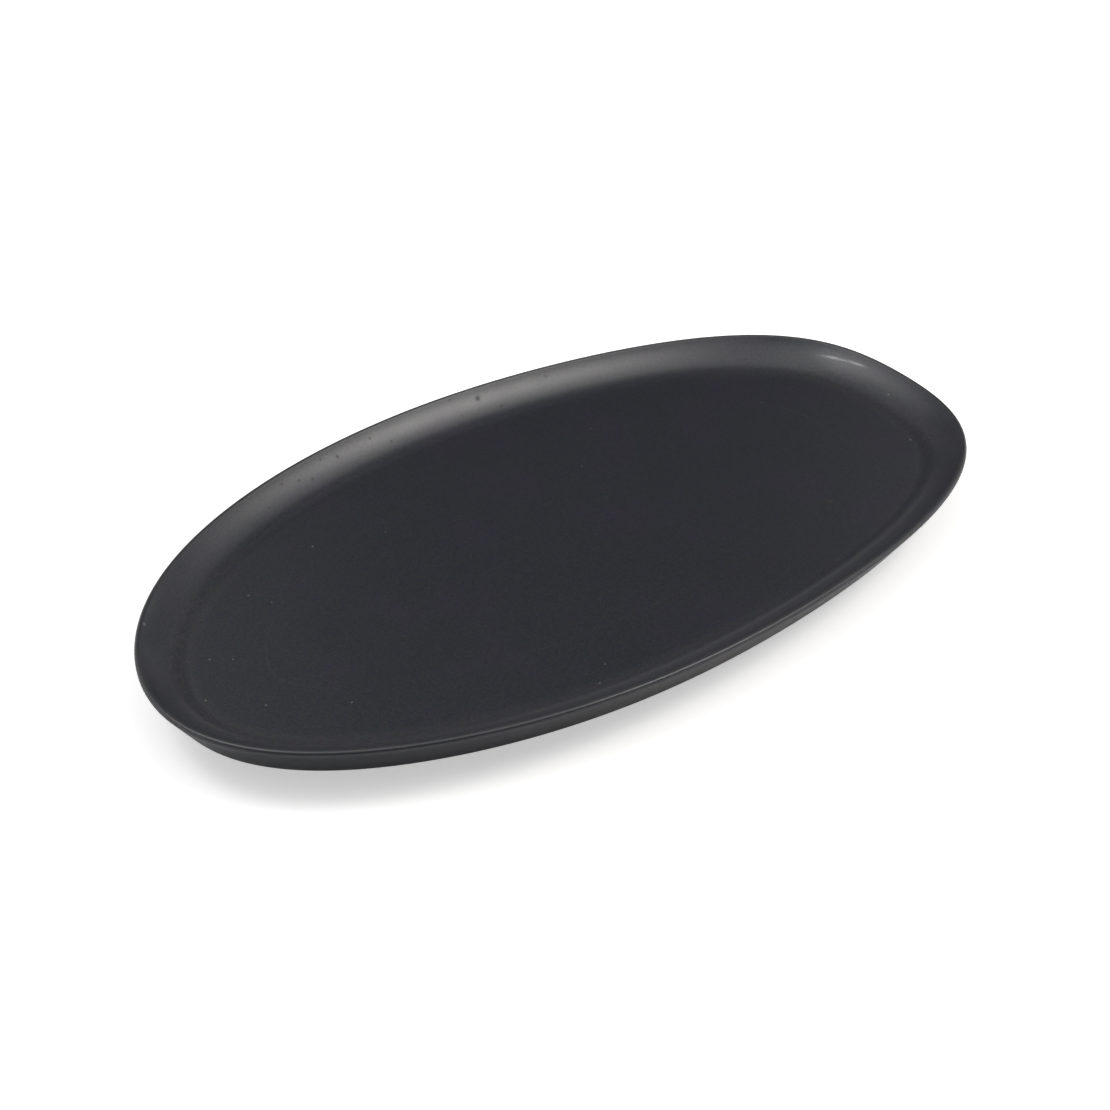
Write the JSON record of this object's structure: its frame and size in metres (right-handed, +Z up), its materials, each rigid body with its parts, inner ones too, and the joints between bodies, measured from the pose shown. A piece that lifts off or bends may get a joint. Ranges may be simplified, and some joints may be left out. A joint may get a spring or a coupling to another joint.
{
  "type": "oval serving dish",
  "caption": "Shallow oval dish in dark satin stoneware, with a thin raised rim, hollow inner wall, flat floor and foot ring, for holding food or small things.",
  "frame": {"origin": "on the table, under the middle of the rim's bounding box", "axes": "+X along the dish, +Y across it, +Z up"},
  "size_m": [0.24, 0.134, 0.0164],
  "materials": {
    "satin_black_glaze": "satin"
  },
  "bodies": {
    "root": {"oval_dish": "satin_black_glaze"}
  },
  "joints": []
}
